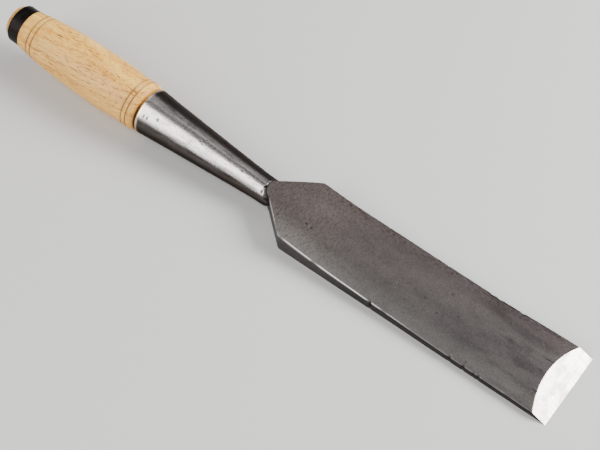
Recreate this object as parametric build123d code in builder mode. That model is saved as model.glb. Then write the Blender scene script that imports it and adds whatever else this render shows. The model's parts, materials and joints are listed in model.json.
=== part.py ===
"""Socket framing chisel lying on its flat back.

Origin: middle of the cutting edge, on the flat back of the blade.
+X points out of the cutting edge, +Y to the left of the blade, +Z up.
The socket and the handle share one axis that rises towards the struck end.
"""
from build123d import *
import math
import os

os.makedirs("parts", exist_ok=True)

# ---- Blade: a wide forged blade, flat behind and crowned in front ----
edge_width = 50.8             # across the cutting edge (two inches)
shoulder_width = 46.6         # the sides draw in slightly towards the socket
blade_length = 186.5          # cutting edge to the shoulder corners
shoulder_run = 20.3           # length taken up by the sloping shoulders
heel_width = 12.0             # blade width where the shoulders meet the neck
heel_nose = 3.9               # rounded nose of the heel behind the shoulders
crown_radius = 110.0          # radius of the convex front face
bevel_angle = 26.1            # grinding angle of the single bevel
corner_radius = 3.0           # worn shoulder corners
arris_radius = 0.45           # broken edges along the front face
heel_chamfer = 0.8            # underside of the heel
bevel_reach = 30.0            # side of the wedge that the grinding takes away
overhang = 10.0               # waste drawn past the finished edge

# Thickness along the centre line, from the cutting edge back to the heel
edge_thickness = 7.0          # where the front would meet the cutting edge unground
tip_thickness = 7.4           # just behind the bevel
middle_thickness = 8.4
waist_thickness = 10.7
upper_thickness = 14.2
shoulder_thickness = 16.7
heel_thickness = 19.3

# ---- Steel facing laid on the flat back ----
steel_thickness = 3.0
steel_share = 0.8             # share of the blade length that is faced
steel_scarf = 12.0            # length over which the facing tapers out

# ---- Axis shared by the socket and the handle ----
axis_rise = 3.9               # degrees above the flat back
axis_height = 10.44           # above the flat back at the heel nose
socket_length = 93.9          # mouth to the heel nose, along the axis

# ---- Socket: a hollow cone on a solid neck ----
mouth_radius = 15.45
neck_radius = 8.5
neck_straight = 0.7           # parallel part of the neck before the heel
stub_reach = 19.0             # solid stub under the heel, before it is scarfed
bore_mouth_radius = 12.9
bore_end_radius = 7.2
bore_depth = 70.0
bore_tip = 4.0                # drill-shaped bottom of the hollow
rim_round = 1.1
scarf_angle = 50.0            # slope of the forge weld between neck and heel
heel_lip = 1.1                # heel standing above the top of the weld
weld_cover = 0.5              # how far the weld starts behind the heel nose

# ---- Handle: one turned piece of wood ----
tenon_clearance = 0.05        # radial, tapered tenon in the tapered hollow
tenon_gap = 5.0               # air left between the tenon and the bottom
tenon_chamfer = 1.2
shoulder_gap = 1.4            # between the socket rim and the wood
wood_shoulder_radius = 14.8
belly_radius = 17.15
grip_end_radius = 13.3
grip_length = 98.9            # socket rim to the hoop
ring_depth = 0.35             # scribed and burned rings
ring_half_width = 0.45
ring_stations = [6.5, 9.9, 87.2, 90.9]

# ---- Hoop: a plain iron ring let on to the struck end ----
hoop_length = 9.5
hoop_outer_radius = 13.0
hoop_inner_radius = 10.9
hoop_round = 1.3              # struck edge, worn round
hoop_break = 0.3              # edge against the grip
hoop_flare = 0.6              # inner edge opened so that the wood grips it
hoop_clearance = 0.0          # the hoop is driven on tight
wood_proud = 2.6              # wood standing straight out of the hoop
wood_end_radius = 10.6        # where the dome begins
wood_dome = 2.6               # height of the domed end

rise = math.radians(axis_rise)
bevel = math.radians(bevel_angle)
axis_dir = (-math.cos(rise), 0, math.sin(rise))

heel_x = -(blade_length + shoulder_run)
nose_x = heel_x - heel_nose
mouth_x = nose_x - socket_length * math.cos(rise)
mouth_z = axis_height + socket_length * math.sin(rise)
turning_plane = Plane(origin=(mouth_x, 0, mouth_z), x_dir=axis_dir, z_dir=(0, 1, 0))
turning_axis = Axis((mouth_x, 0, mouth_z), axis_dir)
neck_length = socket_length - neck_straight
stub_length = socket_length + stub_reach
steel_length = blade_length * steel_share
scarf_slope = math.tan(math.radians(scarf_angle))
scarf_x = nose_x - weld_cover
scarf_z = heel_thickness - heel_lip
scarf_back = 10.0             # waste above the scarf, behind its top
scarf_reach = 60.0            # waste above the scarf, past its toe
hoop_seat_radius = hoop_inner_radius - hoop_clearance
hoop_end = grip_length + hoop_length
dome_start = hoop_end + wood_proud
dome_radius = (wood_end_radius**2 + wood_dome**2) / (2 * wood_dome)
dome_half_angle = math.asin(wood_end_radius / dome_radius) / 2
dome_tip = dome_start + wood_dome
socket_swell = mouth_radius - neck_radius
bore_slope = (bore_mouth_radius - bore_end_radius) / bore_depth
tenon_mouth_radius = bore_mouth_radius - tenon_clearance
tenon_length = bore_depth - tenon_gap
tenon_tip_radius = tenon_mouth_radius - bore_slope * tenon_length


# ---- Shared outlines of the blade and its steel facing ----
with BuildSketch(Plane.XY) as blade_plan:
    with BuildLine():
        Polyline(
            (heel_x, heel_width / 2),
            (-blade_length, shoulder_width / 2),
            (0, edge_width / 2),
            (0, -edge_width / 2),
            (-blade_length, -shoulder_width / 2),
            (heel_x, -heel_width / 2),
        )
        ThreePointArc((heel_x, -heel_width / 2), (nose_x, 0), (heel_x, heel_width / 2))
    make_face()
    shoulder_corners = [v for v in blade_plan.vertices() if abs(v.X + blade_length) < 0.1]
    fillet(shoulder_corners, radius=corner_radius)

ground_height = bevel_reach * math.tan(bevel)
with BuildSketch(Plane.XZ) as bevel_waste:
    with BuildLine():
        Polyline(
            (0, 0),
            (-bevel_reach, ground_height),
            (bevel_reach, ground_height),
            (bevel_reach, 0),
            (0, 0),
        )
    make_face()

# Side view of the facing: full thickness at the edge, scarfed out at the back
with BuildSketch(Plane.XZ) as facing_side:
    with BuildLine():
        Polyline(
            (overhang, 0),
            (overhang, steel_thickness),
            (steel_scarf - steel_length, steel_thickness),
            (-steel_length, 0),
            (overhang, 0),
        )
    make_face()

# ---- Blade body ----
half_bar = edge_width * 0.6
crown_drop = crown_radius - math.sqrt(crown_radius**2 - half_bar**2)
thickness_stations = [
    (overhang, edge_thickness),
    (-blade_length * 0.08, tip_thickness),
    (-blade_length * 0.43, middle_thickness),
    (-blade_length * 0.70, waist_thickness),
    (-blade_length * 0.91, upper_thickness),
    (-blade_length, shoulder_thickness),
    (nose_x - overhang / 3, heel_thickness),
]

# Neck stub: the scarfed end of the socket that the heel is welded over
with BuildSketch(Plane.XZ) as above_scarf:
    with BuildLine():
        Polyline(
            (scarf_x - scarf_back, scarf_z + scarf_back * scarf_slope),
            (scarf_x, scarf_z),
            (scarf_x + scarf_reach, scarf_z - scarf_reach * scarf_slope),
            (scarf_x + scarf_reach, scarf_z + scarf_back * scarf_slope),
            (scarf_x - scarf_back, scarf_z + scarf_back * scarf_slope),
        )
    make_face()

with BuildPart() as neck_stub:
    with BuildSketch(turning_plane):
        with BuildLine():
            Polyline(
                (-neck_length, 0),
                (-neck_length, neck_radius),
                (-stub_length, neck_radius),
                (-stub_length, 0),
                (-neck_length, 0),
            )
        make_face()
    revolve(axis=turning_axis, revolution_arc=360)
    extrude(above_scarf.sketch, amount=edge_width, both=True, mode=Mode.SUBTRACT)

with BuildPart() as blade:
    for x, thickness in thickness_stations:
        side_height = thickness - crown_drop
        with BuildSketch(Plane(origin=(x, 0, 0), x_dir=(0, 1, 0), z_dir=(1, 0, 0))):
            with BuildLine():
                Line((-half_bar, 0), (half_bar, 0))
                Line((half_bar, 0), (half_bar, side_height))
                ThreePointArc((half_bar, side_height), (0, thickness), (-half_bar, side_height))
                Line((-half_bar, side_height), (-half_bar, 0))
            make_face()
    loft()
    extrude(blade_plan.sketch, amount=heel_thickness * 2, mode=Mode.INTERSECT)
    extrude(bevel_waste.sketch, amount=edge_width, both=True, mode=Mode.SUBTRACT)
    heel_edges = [e for e in blade.edges() if e.center().Z < 0.01 and e.center().X < -blade_length]
    chamfer(heel_edges, length=heel_chamfer)
    front = blade.faces().filter_by(lambda f: f.normal_at().Z > 0.9).sort_by(SortBy.AREA)[-1]
    arrises = [e for e in front.edges() if abs(e.center().X) > bevel_reach]
    fillet(arrises, radius=arris_radius)
    extrude(facing_side.sketch, amount=edge_width, both=True, mode=Mode.SUBTRACT)
    add(neck_stub.part, mode=Mode.SUBTRACT)
blade.part.label = "blade"
export_step(blade.part, "parts/blade.step")

# ---- Steel facing, forge-welded into the flat back ----
with BuildPart() as edge_steel:
    extrude(blade_plan.sketch, amount=steel_thickness)
    extrude(facing_side.sketch, amount=edge_width, both=True, mode=Mode.INTERSECT)
    extrude(bevel_waste.sketch, amount=edge_width, both=True, mode=Mode.SUBTRACT)
edge_steel.part.label = "edge_steel"
export_step(edge_steel.part, "parts/edge_steel.step")

# ---- Socket with its neck and welded stub ----
with BuildPart() as socket:
    with BuildSketch(turning_plane):
        with BuildLine():
            Line((0, bore_mouth_radius), (0, mouth_radius))
            Spline(
                (0, mouth_radius),
                (-neck_length * 0.2, neck_radius + socket_swell * 0.775),
                (-neck_length * 0.42, neck_radius + socket_swell * 0.555),
                (-neck_length * 0.7, neck_radius + socket_swell * 0.275),
                (-neck_length, neck_radius),
            )
            Polyline(
                (-neck_length, neck_radius),
                (-stub_length, neck_radius),
                (-stub_length, 0),
                (-bore_depth - bore_tip, 0),
                (-bore_depth, bore_end_radius),
                (0, bore_mouth_radius),
            )
        make_face()
    revolve(axis=turning_axis, revolution_arc=360)
    rim_edges = socket.edges().filter_by(GeomType.CIRCLE).sort_by(Axis.X)
    outer_rim = [e for e in rim_edges if abs(e.radius - mouth_radius) < 0.01]
    inner_rim = [e for e in rim_edges if abs(e.radius - bore_mouth_radius) < 0.01]
    fillet(outer_rim, radius=rim_round)
    fillet(inner_rim, radius=rim_round * 0.4)
    extrude(above_scarf.sketch, amount=edge_width, both=True, mode=Mode.SUBTRACT)
socket.part.label = "socket"
export_step(socket.part, "parts/socket.step")


def radius_at(curve, station):
    """Radius of a turned profile at a distance along its axis."""
    low, high = 0.0, 1.0
    for _ in range(40):
        middle = (low + high) / 2
        if (curve @ middle).X < station:
            low = middle
        else:
            high = middle
    return (curve @ low).Y


# ---- Handle: tapered tenon, barrel grip, hoop seat and domed end ----
grip_swell = belly_radius - grip_end_radius
grip_curve = Spline(
    (shoulder_gap, wood_shoulder_radius),
    (shoulder_gap + 1.8, wood_shoulder_radius + 0.95),
    (grip_length * 0.107, belly_radius - grip_swell * 0.19),
    (grip_length * 0.26, belly_radius - grip_swell * 0.02),
    (grip_length * 0.4125, belly_radius),
    (grip_length * 0.665, belly_radius - grip_swell * 0.145),
    (grip_length * 0.867, belly_radius - grip_swell * 0.54),
    (grip_length, grip_end_radius),
)
with BuildPart() as handle:
    with BuildSketch(turning_plane):
        with BuildLine():
            Polyline(
                (dome_tip, 0),
                (-tenon_length, 0),
                (-tenon_length, tenon_tip_radius - tenon_chamfer),
                (-tenon_length + tenon_chamfer, tenon_tip_radius + bore_slope * tenon_chamfer),
                (shoulder_gap, tenon_mouth_radius + bore_slope * shoulder_gap),
                (shoulder_gap, wood_shoulder_radius),
            )
            add(grip_curve)
            Polyline(
                (grip_length, grip_end_radius),
                (grip_length, hoop_seat_radius),
                (hoop_end - hoop_flare, hoop_seat_radius),
                (hoop_end, hoop_seat_radius + hoop_flare),
            )
            Line((hoop_end, hoop_seat_radius + hoop_flare), (dome_start, wood_end_radius))
            ThreePointArc(
                (dome_start, wood_end_radius),
                (
                    dome_tip - dome_radius * (1 - math.cos(dome_half_angle)),
                    dome_radius * math.sin(dome_half_angle),
                ),
                (dome_tip, 0),
            )
        make_face()
        for station in ring_stations:
            ring_radius = radius_at(grip_curve, station)
            with BuildLine():
                Polyline(
                    (station - ring_half_width, ring_radius + ring_depth),
                    (station, ring_radius - ring_depth),
                    (station + ring_half_width, ring_radius + ring_depth),
                    (station - ring_half_width, ring_radius + ring_depth),
                )
            make_face(mode=Mode.SUBTRACT)
    revolve(axis=turning_axis, revolution_arc=360)
handle.part.label = "handle"
export_step(handle.part, "parts/handle.step")

# ---- Hoop on the struck end ----
with BuildPart() as hoop:
    with BuildSketch(turning_plane):
        with BuildLine():
            Polyline(
                (grip_length, hoop_inner_radius),
                (hoop_end - hoop_flare, hoop_inner_radius),
                (hoop_end, hoop_inner_radius + hoop_flare),
                (hoop_end, hoop_outer_radius),
                (grip_length, hoop_outer_radius),
                (grip_length, hoop_inner_radius),
            )
        make_face()
    revolve(axis=turning_axis, revolution_arc=360)
    hoop_circles = hoop.edges().filter_by(GeomType.CIRCLE).sort_by(Axis.X)
    outer_edges = [e for e in hoop_circles if abs(e.radius - hoop_outer_radius) < 0.01]
    fillet(outer_edges[0], radius=hoop_round)
    fillet(outer_edges[-1], radius=hoop_break)
hoop.part.label = "hoop"
export_step(hoop.part, "parts/hoop.step")
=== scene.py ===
"""Looks of a socket framing chisel lying on its flat back.

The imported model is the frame: +X points out of the cutting edge, +Y to the
left of the blade and +Z up, with the origin on the flat back.  Sizes here are
in millimetres and become metres once, when a mesh or a pattern is written.
"""
import json
import logging
import math
from collections.abc import Sequence
from dataclasses import dataclass, field
from enum import Enum

import bmesh
import bpy
import numpy as np
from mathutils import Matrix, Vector


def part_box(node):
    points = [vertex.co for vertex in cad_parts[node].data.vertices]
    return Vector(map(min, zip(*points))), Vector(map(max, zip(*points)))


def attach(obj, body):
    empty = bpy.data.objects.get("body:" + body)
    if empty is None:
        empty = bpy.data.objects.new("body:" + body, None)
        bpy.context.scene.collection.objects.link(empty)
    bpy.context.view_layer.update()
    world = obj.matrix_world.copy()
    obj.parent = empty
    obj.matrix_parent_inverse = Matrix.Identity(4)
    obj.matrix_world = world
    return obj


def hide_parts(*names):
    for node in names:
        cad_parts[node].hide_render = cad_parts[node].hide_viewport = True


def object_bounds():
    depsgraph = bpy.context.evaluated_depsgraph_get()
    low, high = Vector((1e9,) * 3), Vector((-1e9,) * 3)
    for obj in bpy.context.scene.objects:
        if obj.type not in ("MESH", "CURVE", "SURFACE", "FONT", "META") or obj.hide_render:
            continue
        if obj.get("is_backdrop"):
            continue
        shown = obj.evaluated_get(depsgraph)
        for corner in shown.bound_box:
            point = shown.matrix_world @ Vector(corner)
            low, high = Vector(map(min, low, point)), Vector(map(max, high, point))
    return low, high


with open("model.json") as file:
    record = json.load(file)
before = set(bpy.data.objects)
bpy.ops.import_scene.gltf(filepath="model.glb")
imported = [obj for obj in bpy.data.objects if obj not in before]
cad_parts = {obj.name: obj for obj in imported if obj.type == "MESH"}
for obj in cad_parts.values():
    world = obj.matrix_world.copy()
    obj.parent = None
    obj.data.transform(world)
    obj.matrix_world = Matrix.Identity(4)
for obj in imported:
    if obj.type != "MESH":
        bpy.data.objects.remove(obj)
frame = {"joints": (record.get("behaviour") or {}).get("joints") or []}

CAD_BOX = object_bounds()
MM = 0.001
NEAR = -1.0                   # side of the blade towards -Y
FAR = 1.0                     # side of the blade towards +Y
WELD = 2e-7                   # points closer than this many metres are one

Value = float | str | bpy.types.NodeSocket    # what a node's input may be given

log = logging.getLogger("chisel")


class Slot(Enum):
    """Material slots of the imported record."""

    BLADE = "blade_iron"
    STEEL = "edge_steel"
    SOCKET = "socket_iron"
    WOOD = "handle_wood"
    HOOP = "hoop_iron"


class Body(Enum):
    """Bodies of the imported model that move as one."""

    IRON = "iron"
    HANDLE = "handle"


def linear(code: str) -> tuple[float, float, float, float]:
    """Turns an sRGB colour into the linear one that shaders take.

    Args:
        code: six hex digits, with or without a leading #.

    Returns:
        Linear red, green, blue and an alpha of one.
    """
    values = [int(code.lstrip("#")[i:i + 2], 16) / 255 for i in (0, 2, 4)]
    red, green, blue = (
        v / 12.92 if v <= 0.04045 else ((v + 0.055) / 1.055) ** 2.4 for v in values
    )
    return red, green, blue, 1.0


def eased(value: np.ndarray) -> np.ndarray:
    """Ramp that leaves 0 and reaches 1 softly: 3v^2 - 2v^3, held outside."""
    v = np.clip(value, 0.0, 1.0)
    return v * v * (3 - 2 * v)


def through(knots: Sequence[tuple[float, float]], at: np.ndarray) -> np.ndarray:
    """Natural cubic through knots: second slopes solved so that it stays smooth.

    Args:
        knots: rising positions with their values.
        at: positions to read.

    Returns:
        The value at each position.
    """
    place, value = np.array(knots, float).T
    gap = np.diff(place)
    inner = np.arange(1, len(place) - 1)
    system = np.eye(len(place))
    system[inner, inner - 1] = gap[:-1]
    system[inner, inner] = 2 * (gap[:-1] + gap[1:])
    system[inner, inner + 1] = gap[1:]
    turn = np.zeros(len(place))
    turn[inner] = 6 * np.diff(np.diff(value) / gap)
    bend = np.linalg.solve(system, turn)
    i = np.clip(np.searchsorted(place, at) - 1, 0, len(gap) - 1)
    before, after, h = at - place[i], place[i + 1] - at, gap[i]
    return (
        (bend[i] * after**3 + bend[i + 1] * before**3) / (6 * h)
        + (value[i] / h - bend[i] * h / 6) * after
        + (value[i + 1] / h - bend[i + 1] * h / 6) * before
    )


def rounded(corners: Sequence[tuple[float, float, float]], steps: int = 7) -> np.ndarray:
    """Path of straight runs whose corners are arcs tangent to both runs.

    Args:
        corners: each corner with the radius it is rounded to, 0 for sharp.
        steps: points on each arc.

    Returns:
        Points of the path, one row each.
    """
    place = np.array([c[:2] for c in corners], float)
    path = [place[0]]
    for before, corner, after, radius in zip(
        place, place[1:], place[2:], [c[2] for c in corners[1:]]
    ):
        if radius <= 0:
            path.append(corner)
            continue
        back, on = before - corner, after - corner
        back, on = back / np.hypot(*back), on / np.hypot(*on)
        half = math.acos(np.clip(back @ on, -1, 1)) / 2
        middle = (back + on) / np.hypot(*(back + on))
        centre = corner + middle * radius / math.sin(half)
        start = corner + back * radius / math.tan(half) - centre
        end = corner + on * radius / math.tan(half) - centre
        first, last = (math.atan2(v[1], v[0]) for v in (start, end))
        sweep = (last - first + math.pi) % (2 * math.pi) - math.pi
        angle = first + sweep * np.linspace(0, 1, steps)
        path.extend(centre + radius * np.column_stack([np.cos(angle), np.sin(angle)]))
    path.append(place[-1])
    return np.array(path)


def spaced(path: np.ndarray, step: float) -> np.ndarray:
    """Same path with extra points, so that none is further than a step apart.

    Args:
        path: points, one row each.
        step: longest run left between points.

    Returns:
        The path's own points and the added ones, in order.
    """
    run = np.concatenate([[0], np.cumsum(np.hypot(*np.diff(path, axis=0).T))])
    stations = np.unique(np.round(np.concatenate([run, np.arange(0, run[-1], step)]), 5))
    keep = np.concatenate([[True], np.diff(stations) > step * 0.02])
    stations = stations[keep]
    return np.column_stack([np.interp(stations, run, path[:, k]) for k in (0, 1)])


@dataclass(frozen=True)
class Unevenness:
    """Seeded highs and lows on a square lattice, eased from one to the next.

    Attributes:
        seed: number that fixes the highs and lows.
        span: distance between neighbours of the lattice.
        cells: lattice size before it repeats.
    """

    seed: int
    span: float
    cells: int = 97

    def at(self, a: np.ndarray, b: np.ndarray) -> np.ndarray:
        """Height at each place: the four lattice values round it, eased across.

        Args:
            a, b: the two coordinates, in millimetres.

        Returns:
            Heights between -1 and 1.
        """
        table = np.random.default_rng(self.seed).uniform(-1, 1, (self.cells,) * 2)
        a, b = np.broadcast_arrays(np.asarray(a, float), np.asarray(b, float))
        a, b = a / self.span, b / self.span
        i, j = np.floor(a).astype(int), np.floor(b).astype(int)
        u, v = eased(a - i), eased(b - j)
        i0, i1, j0, j1 = (k % self.cells for k in (i, i + 1, j, j + 1))
        low = table[i0, j0] * (1 - u) + table[i1, j0] * u
        high = table[i0, j1] * (1 - u) + table[i1, j1] * u
        return low * (1 - v) + high * v


@dataclass(frozen=True)
class Mark:
    """One pit, nick or dent, as a bell-shaped hollow.

    Attributes:
        a, b: centre in the surface's two coordinates, in millimetres.
        length, width: half-widths of the bell along a and b.
        depth: depth of the hollow at its centre.
        dark: how far its crust darkens the metal, 0 to 1.
    """

    a: float
    b: float
    length: float
    width: float
    depth: float
    dark: float = 1.0

    def bell(self, a: np.ndarray, b: np.ndarray) -> np.ndarray:
        """Share of the hollow at each place: exp of minus squared distance."""
        return np.exp(-((a - self.a) / self.length) ** 2 - ((b - self.b) / self.width) ** 2)


@dataclass
class Skin:
    """Closed surface through rings of points.

    Attributes:
        name: name of the piece.
        rings: points in millimetres, shape (rings, around, 3).
        tints: named value per point, shape (rings, around), for the finishes.
        finish_of: material index per face, a row for each band, or None for all 0.
        looped: True if the last ring joins the first, as on a hoop.
    """

    name: str
    rings: np.ndarray
    tints: dict[str, np.ndarray] = field(default_factory=dict)
    finish_of: np.ndarray | None = None
    looped: bool = False

    def faces(self) -> np.ndarray:
        """Joins each ring to the next with quads.

        Returns:
            Rows of four corners.
        """
        rows, around = self.rings.shape[:2]
        number = np.arange(rows * around).reshape(rows, around)
        if self.looped:
            number = np.vstack([number, number[:1]])
        here, there = number[:-1], number[1:]
        quads = [here, np.roll(here, -1, 1), np.roll(there, -1, 1), there]
        return np.stack(quads, axis=-1).reshape(-1, 4)

    def build(
        self, materials: Sequence[bpy.types.Material], crease: float = 32.0
    ) -> bpy.types.Object:
        """Writes the mesh, welds poles and seams, and turns faces outwards.

        Args:
            materials: finishes in the order of finish_of.
            crease: edges that turn more than this many degrees stay sharp.

        Returns:
            The new object, at the origin.
        """
        mesh = bpy.data.meshes.new(self.name)
        points = self.rings.reshape(-1, 3) * MM
        faces = self.faces()
        mesh.from_pydata(points, [], faces)
        if self.finish_of is not None:
            mesh.polygons.foreach_set("material_index", self.finish_of.astype(int).ravel())
        for tint, values in self.tints.items():
            layer = mesh.attributes.new(tint, "FLOAT", "POINT")
            layer.data.foreach_set("value", values.astype(np.float32).ravel())
        shape = bmesh.new()
        shape.from_mesh(mesh)
        bmesh.ops.remove_doubles(shape, verts=shape.verts, dist=WELD)
        bmesh.ops.recalc_face_normals(shape, faces=shape.faces)
        shape.to_mesh(mesh)
        shape.free()
        mesh.shade_smooth()
        mesh.set_sharp_from_angle(angle=math.radians(crease))
        for material in materials:
            mesh.materials.append(material)
        piece = bpy.data.objects.new(self.name, mesh)
        bpy.context.scene.collection.objects.link(piece)
        return piece


class Step(Enum):
    """What one node does to the value that is carried into it.

    Each holds the node's type, its settings, the input for the carried value,
    the inputs that a row fills in order, and the output to read.
    """

    RAMP = "ShaderNodeMapRange", {"interpolation_type": "SMOOTHSTEP"}, 0, (1, 2, 4), 0
    TIMES = "ShaderNodeMath", {"operation": "MULTIPLY"}, 0, (1,), 0
    PLUS = "ShaderNodeMath", {"operation": "MULTIPLY_ADD"}, 2, (0, 1), 0
    HELD_PLUS = "ShaderNodeMath", {"operation": "MULTIPLY_ADD", "use_clamp": True}, 2, (0, 1), 0
    COAT = "ShaderNodeMix", {"data_type": "RGBA"}, 6, (0, 7), 2
    DYE = "ShaderNodeMix", {"data_type": "RGBA", "blend_type": "MULTIPLY"}, 6, (0, 7), 2


class Recipe:
    """A material under construction, with patterns laid out in millimetres."""

    def __init__(self, name: str, *tints: str) -> None:
        """Starts a material.

        Args:
            name: the material's name.
            tints: names of the values that the piece carries at each point.
        """
        self.material = bpy.data.materials.new(name)
        self.material.use_nodes = True
        self.tree = self.material.node_tree
        self.tree.nodes.clear()
        self.place = self.add("ShaderNodeTexCoord").outputs["Object"]
        self.tint = {
            tint: self.add("ShaderNodeAttribute", attribute_name=tint).outputs["Fac"]
            for tint in tints
        }

    def add(self, kind: str, inputs: dict | None = None, **settings: object) -> bpy.types.Node:
        """Adds a node with its settings and links.

        Args:
            kind: the node's type.
            inputs: socket name or number, with a value, a hex colour or an output to link.
            settings: the node's own properties.

        Returns:
            The new node.
        """
        node = self.tree.nodes.new(kind)
        for key, value in settings.items():
            setattr(node, key, value)
        for key, value in (inputs or {}).items():
            if isinstance(value, bpy.types.NodeSocket):
                self.tree.links.new(value, node.inputs[key])
            else:
                node.inputs[key].default_value = linear(value) if isinstance(value, str) else value
        return node

    def run(self, step: Step, value: Value, *rows: Value | tuple) -> Value:
        """Carries a value through one node for each row.

        RAMP takes rows of (low, high, reach): 0 at low, reach (1 if left out)
        at high.  TIMES takes factors.  PLUS takes (value, weight), and
        HELD_PLUS also holds each sum between 0 and 1.  COAT and DYE take
        (share, colour): a colour laid over, or multiplied in.

        Args:
            step: what each node does.
            value: number, hex colour or output that goes in.
            rows: the other inputs of each node.

        Returns:
            What comes out of the last node.
        """
        kind, settings, carried, others, out = step.value
        for row in rows:
            row = row if isinstance(row, tuple) else (row,)
            node = self.add(kind, {carried: value, **dict(zip(others, row))}, **settings)
            value = node.outputs[out]
        return value

    def patterns(self, rows: dict[str, tuple]) -> dict[str, bpy.types.NodeSocket]:
        """Lays out one noise for each row, stretched to real sizes.

        Args:
            rows: name with (span along, across, up in mm, detail, roughness).

        Returns:
            Each pattern's value, about 0.5 in the middle.
        """
        made = {}
        for seed, (name, (along, across, up, detail, rough)) in enumerate(rows.items()):
            laid = self.add("ShaderNodeMapping", {
                "Vector": self.place,
                "Location": (seed * 3.7, seed * 1.9, seed * 2.3),
                "Scale": (1 / (along * MM), 1 / (across * MM), 1 / (up * MM)),
            })
            made[name] = self.add("ShaderNodeTexNoise", {
                "Vector": laid.outputs[0], "Scale": 1.0, "Detail": detail, "Roughness": rough,
            }).outputs[0]
        return made

    def finish(
        self, bump: Value | None = None, depth: float = 0.02, **sockets: Value
    ) -> bpy.types.Material:
        """Joins colour, roughness and relief to the surface.

        Args:
            bump: value for the relief, or None.
            depth: height of the relief in millimetres for a change of one.
            sockets: what goes into the surface's sockets, with _ for a space.

        Returns:
            The finished material.
        """
        inputs = {key.replace("_", " "): value for key, value in sockets.items()}
        if bump is not None:
            inputs["Normal"] = self.add(
                "ShaderNodeBump", {"Height": bump, "Strength": 1.0, "Distance": depth * MM}
            ).outputs[0]
        surface = self.add("ShaderNodeBsdfPrincipled", inputs)
        self.add("ShaderNodeOutputMaterial", {0: surface.outputs[0]})
        return self.material


@dataclass(frozen=True)
class PatinatedIron:
    """Wrought iron, ground by hand and browned by age: a dull grey-brown."""

    name: str = "Ground wrought iron with old patina"

    def build(self) -> bpy.types.Material:
        """Makes the material: mauve on the far side, and painted light that makes the near side
        paler.

        Returns:
            The finished material.
        """
        mix = Recipe(self.name, "worn", "pit", "rim", "painted_flank_shade", "stain")
        pattern = mix.patterns({
            "clouds": (46, 15, 20, 3, 0.5),
            "smudges": (34, 9, 9, 4, 0.55),
            "wheel": (0.9, 2.4, 3, 2, 0.6),      # short grinding lines across the blade
            "grain": (1.0, 1.0, 1.0, 4, 0.7),    # real grit is finer and would not show
            "rust": (2.4, 1.2, 2, 4, 0.7),
            "bloom": (9, 6, 6, 3, 0.6),
        })
        clouds, grain, tint = pattern["clouds"], pattern["grain"], mix.tint
        side = mix.add("ShaderNodeSeparateXYZ", {0: mix.place}).outputs
        far = mix.run(Step.RAMP, side[1], (-8 * MM, 19 * MM))
        far = mix.run(Step.HELD_PLUS, -0.75, (far, 1.0), (clouds, 1.3))
        near = mix.run(Step.RAMP, side[1], (-3 * MM, -25 * MM))
        high = mix.run(Step.RAMP, side[0], (-110 * MM, -190 * MM))
        edge = mix.run(Step.RAMP, side[0], (-75 * MM, -30 * MM))
        both = mix.run(Step.TIMES, near, high)
        # painted light: a paler near side, most of all towards the heel
        pale = mix.run(Step.HELD_PLUS, -0.15, (near, 0.42), (both, 0.48), (pattern["bloom"], 0.3))
        smudge = mix.run(
            Step.TIMES, mix.run(Step.RAMP, pattern["smudges"], (0.56, 0.36)),
            mix.run(Step.HELD_PLUS, 0.12, (edge, 0.3)),
        )
        flecks = mix.run(Step.TIMES, tint["rim"], mix.run(Step.RAMP, pattern["rust"], (0.52, 0.6)))
        lines = mix.run(
            Step.TIMES, mix.run(Step.RAMP, pattern["wheel"], (0.54, 0.38)),
            mix.run(Step.HELD_PLUS, 0.08, (high, 0.26)),
        )
        colour = mix.run(
            Step.COAT, "#413E3E",
            (mix.run(Step.RAMP, clouds, (0.36, 0.62)), "#494646"),
            (mix.run(Step.TIMES, far, 0.5), "#574B4B"),
            # painted light: this coat and the pale coat two rows down brighten the near side
            (mix.run(Step.TIMES, near, 0.5), "#565652"),
            (mix.run(Step.TIMES, high, 0.4), "#665953"),
            (mix.run(Step.TIMES, pale, 0.8), "#888480"),
            (smudge, "#262323"),
            (lines, "#28241F"),
            (mix.run(Step.RAMP, grain, (0.5, 0.22, 0.5)), "#252120"),
            (mix.run(Step.RAMP, grain, (0.52, 0.8, 0.3)), "#938F8C"),
            (mix.run(Step.TIMES, flecks, 0.6), "#3A221A"),
            (tint["stain"], "#17110F"),
            # painted shade: the side walls coated near black
            (mix.run(Step.TIMES, tint["painted_flank_shade"], 0.86), "#1E1B1A"),
            (tint["worn"], "#CFCCC8"),
            (tint["pit"], "#120E0C"),
        )
        rough = mix.run(
            Step.HELD_PLUS, 0.42, (grain, 0.14), (tint["worn"], -0.2), (tint["pit"], 0.3),
            (tint["painted_flank_shade"], 0.08),
        )
        relief = mix.run(Step.PLUS, 0.0, (pattern["wheel"], 0.5), (grain, 1.0))
        return mix.finish(relief, 0.022, Base_Color=colour, Roughness=rough, Metallic=0.85)


@dataclass(frozen=True)
class GroundSteel:
    """Tool steel fresh from the grinding wheel: bright, with fine lines."""

    name: str = "Freshly ground tool steel"

    def build(self) -> bpy.types.Material:
        """Makes the material, its lines lying along the edge's travel.

        Returns:
            The finished material.
        """
        mix = Recipe(self.name)
        pattern = mix.patterns({
            "lines": (16, 1.3, 16, 3, 0.6),      # coarser than real grinding lines
            "fine": (8, 0.5, 8, 2, 0.5),
            "clouds": (6, 11, 6, 3, 0.6),
        })
        lines, fine = pattern["lines"], pattern["fine"]
        colour = mix.run(
            Step.COAT, "#E2D8D3",
            (mix.run(Step.RAMP, pattern["clouds"], (0.42, 0.68, 0.65)), "#8F8682"),
            (mix.run(Step.RAMP, lines, (0.5, 0.75, 0.45)), "#857D79"),
        )
        rough = mix.run(Step.PLUS, 0.3, (fine, 0.2))
        relief = mix.run(Step.PLUS, 0.0, (lines, 0.8), (fine, 0.5))
        return mix.finish(relief, 0.008, Base_Color=colour, Roughness=rough, Metallic=1.0)


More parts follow.
